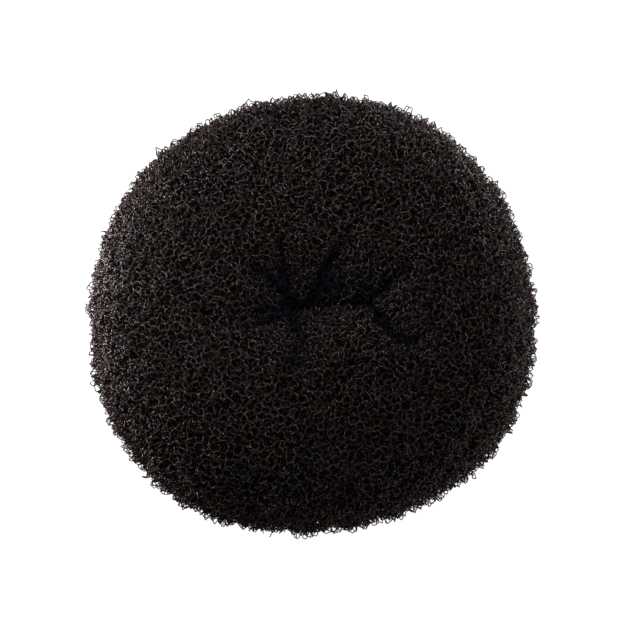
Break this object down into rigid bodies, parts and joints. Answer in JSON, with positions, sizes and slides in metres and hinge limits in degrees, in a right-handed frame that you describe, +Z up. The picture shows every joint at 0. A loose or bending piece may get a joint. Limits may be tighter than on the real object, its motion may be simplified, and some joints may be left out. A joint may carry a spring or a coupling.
{
  "type": "hair donut bun maker",
  "caption": "Round springy ring of rolled nylon netting with a squeezed centre hole that takes a ponytail, worn under a bun.",
  "frame": {"origin": "centre of the rim's box, on the surface that the ring lies on", "axes": "+Z up through the hole, +X along the slit from its round open end to its tip"},
  "size_m": [0.0896, 0.0886, 0.0475],
  "materials": {
    "netting": "near-black knitted nylon netting with a soft gloss on its strands"
  },
  "bodies": {
    "root": {"net_roll": "netting"}
  },
  "joints": []
}
